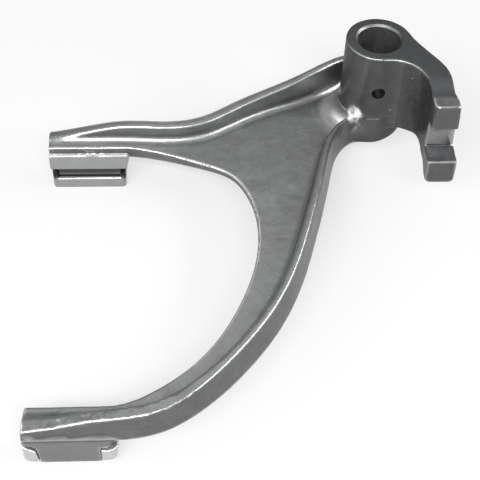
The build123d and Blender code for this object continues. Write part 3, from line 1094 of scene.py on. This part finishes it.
def mark_wear_shade_and_highlight(obj, grid):
    # painted shade in hollows and on sheltered walls, and worn edges that also carry a painted highlight,
    # read from the distance field a little off the surface
    p = points_of(obj.data)
    slope = grid.at(p)[1]
    slope /= np.maximum(np.linalg.norm(slope, axis=1), 1e-6)[:, None]
    outside = grid.at(p + slope * HOLLOW_REACH)[0]
    inside = grid.at(p - slope * EDGE_REACH)[0]
    from_axis = np.hypot(p[:, 0], p[:, 1])
    in_bore = from_axis < BORE_R + HOLE_SLACK
    from_pin = np.hypot(p[:, 0], p[:, 2] - PIN_Z)
    in_pin = (from_pin < PIN_R + PIN_POINT_SLACK) & (from_axis < HUB_R - 0.4)
    in_hole = in_bore | in_pin
    hole_hollow = np.where(in_pin, PIN_HOLLOW, BORE_HOLLOW)
    hollow = np.where(in_hole, hole_hollow, 1 - outside / HOLLOW_REACH)
    store(obj.data, "hollow", np.clip(hollow, 0, 2))
    # walls with something close in front of them get less light
    far_off = p + slope * SHELTER_REACH
    high = grid.low + grid.step * (grid.counts - 1)
    known = np.all((far_off > grid.low) & (far_off < high), axis=1)
    upright = 1 - ramp(slope[:, 2], 0.45, 0.85)
    shelter = np.clip(1 - grid.at(far_off)[0] / SHELTER_REACH, 0, 1) * upright
    store(obj.data, "sheltered", np.where(in_hole | ~known, 0, shelter))
    store(obj.data, "edge", np.where(in_hole, 0, np.clip(1 + inside / EDGE_REACH, 0, 1)))


BOX_LOW = np.array(cad_box[0]) / MM + INSIDE_BOX
BOX_HIGH = np.array(cad_box[1]) / MM - INSIDE_BOX
forging = make_forging()
smooth(forging)
mark_wear_shade_and_highlight(forging, fork)
skin_points = points_of(forging.data)
store(forging.data, "machined", machined_at(skin_points))
store(forging.data, "faced_top_and_shelf_shade", flat_top_at(skin_points))
store(forging.data, "rough_patch_highlight", scale_and_highlight_spot_at(skin_points))
store(forging.data, "slot", slot_shade_at(skin_points))
store(forging.data, "head", head_at(skin_points))
mark_holes(forging.data)
near_clip = make_clip("long_arm_clip", NEAR_IN, NEAR_OUT)
far_clip = make_clip("short_arm_clip", FAR_IN, FAR_OUT)
# the long arm's clip takes the lit copy of the sheet colour and the short arm's clip the painted-shade
# copy
for clip, lit_copy in ((near_clip, 1.0), (far_clip, 0.0)):
    smooth(clip)
    store(clip.data, "lit_copy", np.full(len(clip.data.vertices), lit_copy))
    store(clip.data, "shade", post_shade_at(points_of(clip.data)))


class Nodes:
    # short way to write a node tree
    def __init__(self, name):
        self.material = bpy.data.materials.new(name)
        self.material.use_nodes = True
        self.tree = self.material.node_tree
        self.shader = self.tree.nodes["Principled BSDF"]
        self.place = self.add("ShaderNodeTexCoord").outputs["Object"]

    def add(self, kind, **settings):
        node = self.tree.nodes.new(kind)
        for key, value in settings.items():
            setattr(node, key, value)
        return node

    def link(self, a, b):
        self.tree.links.new(a, b)

    def noise(self, scale, detail=2.0, rough=0.5):
        node = self.add("ShaderNodeTexNoise")
        node.inputs["Scale"].default_value = scale
        node.inputs["Detail"].default_value = detail
        node.inputs["Roughness"].default_value = rough
        self.link(self.place, node.inputs["Vector"])
        return node.outputs["Fac"]

    def ramp(self, value, low, high, a=0.0, b=1.0):
        node = self.add("ShaderNodeMapRange")
        node.inputs["From Min"].default_value = low
        node.inputs["From Max"].default_value = high
        node.inputs["To Min"].default_value = a
        node.inputs["To Max"].default_value = b
        self.link(value, node.inputs["Value"])
        return node.outputs["Result"]

    def attribute(self, name):
        return self.add("ShaderNodeAttribute", attribute_name=name).outputs["Fac"]

    def math(self, operation, a, b):
        node = self.add("ShaderNodeMath", operation=operation)
        for i, value in enumerate((a, b)):
            if isinstance(value, (int, float)):
                node.inputs[i].default_value = value
            else:
                self.link(value, node.inputs[i])
        return node.outputs[0]

    def mix(self, factor, a, b):
        node = self.add("ShaderNodeMix", data_type="RGBA")
        self.link(factor, node.inputs[0])
        for socket, value in ((node.inputs[6], a), (node.inputs[7], b)):
            if isinstance(value, tuple):
                socket.default_value = (*value, 1)
            else:
                self.link(value, socket)
        return node.outputs[2]

    def bump(self, height, strength, distance, before=None):
        node = self.add("ShaderNodeBump")
        node.inputs["Strength"].default_value = strength
        node.inputs["Distance"].default_value = distance
        self.link(height, node.inputs["Height"])
        if before is not None:
            self.link(before, node.inputs["Normal"])
        return node.outputs["Normal"]


def forged_coat(n):
    # oil film, thin in hollows, on the faced top and the shelf, on hub and arm, on the rough patch and in
    # the holes
    coat = n.ramp(n.attribute("hollow"), 0.1, 1.2, 0.55, 0.0)
    for name, low, high, left in (
        ("faced_top_and_shelf_shade", 0.0, 1.0, 0.4),
        ("head", 0.0, 1.0, 0.5),
        ("rough_patch_highlight", 0.0, 1.0, 0.2),
        ("hole", 0.9, 1.6, 0.0),
    ):
        coat = n.math("MULTIPLY", coat, n.ramp(n.attribute(name), low, high, 1.0, left))
    return coat


def skin_colour(n):
    # mottled forging skin with painted shade in hollows and on sheltered walls, worn edges lightened
    # further as a painted highlight, specks, a painted highlight on the rough patch, and the faced top's
    # grey, which on the shelf is painted shade
    skin = n.mix(n.ramp(n.noise(140, 4, 0.6), 0.35, 0.7), SKIN_DARK, SKIN_LIGHT)
    skin = n.mix(n.ramp(n.attribute("hollow"), 0.1, 1.6), skin, HOLLOW_PAINTED_SHADE)
    skin = n.mix(n.ramp(n.attribute("sheltered"), 0.02, 0.5, 0.0, 0.75), skin, SHELTERED_GREY)
    skin = n.mix(n.ramp(n.attribute("head"), 0.0, 1.0, 0.0, 0.5), skin, HEAD_GREY)
    # convex edges: real wear plus a painted highlight
    skin = n.mix(n.ramp(n.attribute("edge"), 0.15, 0.5, 0.0, 0.6), skin, WORN_EDGE_AND_HIGHLIGHT)
    specks = n.ramp(n.noise(900, 2, 0.5), 0.72, 0.76)
    skin = n.mix(n.math("MULTIPLY", specks, 0.5), skin, SPECK_GREY)
    # light flakes on the rough patch are a painted highlight
    flake_highlight = n.ramp(n.noise(420, 4, 0.7), 0.3, 0.66)
    skin = n.mix(n.math("MULTIPLY", n.attribute("rough_patch_highlight"), flake_highlight), skin, SCALE_PATCH_PAINTED_HIGHLIGHT)
    # faced top's grey, painted shade on the shelf
    return n.mix(n.attribute("faced_top_and_shelf_shade"), skin, FACED_TOP_AND_SHELF_SHADE_GREY)


def forged_colour(n, machined):
    # forging skin, cut metal, and painted shade in slots, bore and cross hole
    cut_metal = n.mix(n.noise(300, 3, 0.5), CUT_DARK, CUT_LIGHT)
    surface = n.mix(machined, skin_colour(n), cut_metal)
    surface = n.mix(n.attribute("slot"), surface, SLOT_PAINTED_SHADE)
    hole = n.attribute("hole")
    surface = n.mix(n.ramp(hole, 0.4, 0.6), surface, BORE_PAINTED_SHADE)
    return n.mix(n.ramp(hole, 1.4, 1.6), surface, PAINTED_DEEP_SHADE)


def forged_roughness(n, machined):
    mix = n.add("ShaderNodeMix")
    n.link(machined, mix.inputs[0])
    n.link(n.ramp(n.noise(420, 3, 0.6), 0.3, 0.7, 0.38, 0.5), mix.inputs[2])
    n.link(n.ramp(n.noise(200, 2, 0.5), 0.3, 0.7, 0.34, 0.42), mix.inputs[3])
    scale_rough = n.math("MULTIPLY", n.attribute("rough_patch_highlight"), 0.8)
    return n.math("MAXIMUM", mix.outputs[0], scale_rough)


def forged_steel():
    n = Nodes("forged_steel_skin")
    n.shader.inputs["Metallic"].default_value = 0.9
    n.shader.inputs["Specular Tint"].default_value = (0.35, 0.35, 0.35, 1)
    n.shader.inputs["Coat Roughness"].default_value = 0.16
    n.shader.inputs["Coat IOR"].default_value = 1.5
    machined = n.attribute("machined")
    n.link(forged_coat(n), n.shader.inputs["Coat Weight"])
    n.link(forged_colour(n, machined), n.shader.inputs["Base Color"])
    n.link(forged_roughness(n, machined), n.shader.inputs["Roughness"])
    even = n.math("MAXIMUM", machined, n.attribute("faced_top_and_shelf_shade"))
    height = n.math("MULTIPLY", n.noise(900, 4, 0.65), n.ramp(even, 0.0, 1.0, 1.0, 0.1))
    normal = n.bump(height, 0.2, 0.0004)
    n.link(normal, n.shader.inputs["Normal"])
    n.link(normal, n.shader.inputs["Coat Normal"])
    return n.material


def clip_steel():
    n = Nodes("clip_sheet_steel")
    n.shader.inputs["Metallic"].default_value = 0.95
    # lit and painted-shade copies of one sheet colour
    lit_sheet = n.mix(n.noise(260, 3, 0.5), CLIP_LIT_DARK, CLIP_LIT_LIGHT)
    shaded_sheet = n.mix(n.noise(260, 3, 0.5), CLIP_SHADED_DARK, CLIP_SHADED_LIGHT)
    sheet_colour = n.mix(n.attribute("lit_copy"), shaded_sheet, lit_sheet)
    n.link(n.mix(n.attribute("shade"), sheet_colour, PAINTED_DEEP_SHADE), n.shader.inputs["Base Color"])
    n.link(n.ramp(n.noise(500, 2, 0.5), 0.3, 0.7, 0.3, 0.42), n.shader.inputs["Roughness"])
    n.link(n.bump(n.noise(1500, 3, 0.6), 0.12, 0.0003), n.shader.inputs["Normal"])
    return n.material


steel = forged_steel()
sheet = clip_steel()
for obj, material, node, slot in (
    (forging, steel, "fork_body", "forged_steel"),
    (near_clip, sheet, "long_arm_pad", "clip_steel"),
    (far_clip, sheet, "short_arm_pad", "clip_steel"),
):
    obj.data.materials.clear()
    obj.data.materials.append(material)
    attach(obj, "root")
    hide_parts(node)

FLOOR_SIZE = 4000.0
STUDIO_AIM = (-0.06, -0.08, 0.0)
floor_z = TONGUE_Z - 0.02
square = [(sx * FLOOR_SIZE, sy * FLOOR_SIZE, floor_z) for sx, sy in ((-1, -1), (1, -1), (1, 1), (-1, 1))]
floor = add_mesh("floor", square, [(0, 1, 2, 3)])
pale = Nodes("pale_floor")
pale.shader.inputs["Base Color"].default_value = (0.06, 0.06, 0.06, 1)
pale.shader.inputs["Emission Color"].default_value = (1, 1, 1, 1)
pale.shader.inputs["Emission Strength"].default_value = 0.61
pale.shader.inputs["Roughness"].default_value = 1.0
pale.shader.inputs["Specular IOR Level"].default_value = 0.0
floor.data.materials.append(pale.material)

world = bpy.data.worlds.new("studio")
bpy.context.scene.world = world
world.use_nodes = True
world.node_tree.nodes["Background"].inputs["Color"].default_value = (1, 1, 1, 1)
world.node_tree.nodes["Background"].inputs["Strength"].default_value = 0.62


def softbox(name, azimuth, elevation, distance, size, power):
    # angles in degrees, azimuth 0 towards -Y and positive towards +X, the rest in metres and watts
    a = math.radians(azimuth)
    e = math.radians(elevation)
    way = Vector((math.sin(a) * math.cos(e), -math.cos(a) * math.cos(e), math.sin(e)))
    light = bpy.data.lights.new(name, "AREA")
    light.shape = "RECTANGLE"
    light.size, light.size_y = size
    light.energy = power
    obj = bpy.data.objects.new(name, light)
    bpy.context.scene.collection.objects.link(obj)
    obj.location = Vector(STUDIO_AIM) + way * distance
    obj.rotation_euler = way.to_track_quat("Z", "Y").to_euler()


softbox("key_light", -10, 49, 1.3, (1.3, 0.24), 84)
softbox("right_light", 88, 32, 1.2, (1.4, 0.25), 42)
softbox("left_light", -62, 36, 1.2, (2.0, 0.5), 44)
softbox("back_light", 175, 60, 1.4, (1.2, 0.6), 5)

# camera of the photograph, solved from the hub's circles and the tips' corners: angles in
# radians, shift and depth in millimetres, focal length in pixels
AZ, EL, ROLL = -0.07413, 0.83952, 0.04387
TX, TY, DEPTH, FOCAL = 60.95621, 87.94177, 481.3778, 1102.67773
PHOTO_WIDTH = 480
SENSOR_WIDTH = 36.0
back = np.array([math.sin(AZ) * math.cos(EL), -math.cos(AZ) * math.cos(EL), math.sin(EL)])
side_way = np.array([math.cos(AZ), math.sin(AZ), 0.0])
up_way = np.cross(back, side_way)
right = math.cos(ROLL) * side_way + math.sin(ROLL) * up_way
up = -math.sin(ROLL) * side_way + math.cos(ROLL) * up_way
turn = np.array([right, up, back])
centre = -turn.T @ np.array([TX, TY, -DEPTH]) + np.array([0, 0, HUB_H])
eye = bpy.data.cameras.new("eye")
eye.sensor_width = SENSOR_WIDTH
eye.sensor_fit = "HORIZONTAL"
eye.lens = FOCAL / PHOTO_WIDTH * SENSOR_WIDTH
eye.clip_start = 0.01
eye.clip_end = 20
camera = bpy.data.objects.new("camera", eye)
bpy.context.scene.collection.objects.link(camera)
matrix = Matrix.Identity(4)
for row in range(3):
    matrix[row][0] = right[row]
    matrix[row][1] = up[row]
    matrix[row][2] = back[row]
    matrix[row][3] = centre[row] * MM
camera.matrix_world = matrix
bpy.context.scene.camera = camera
bpy.context.scene.view_settings.view_transform = "Standard"
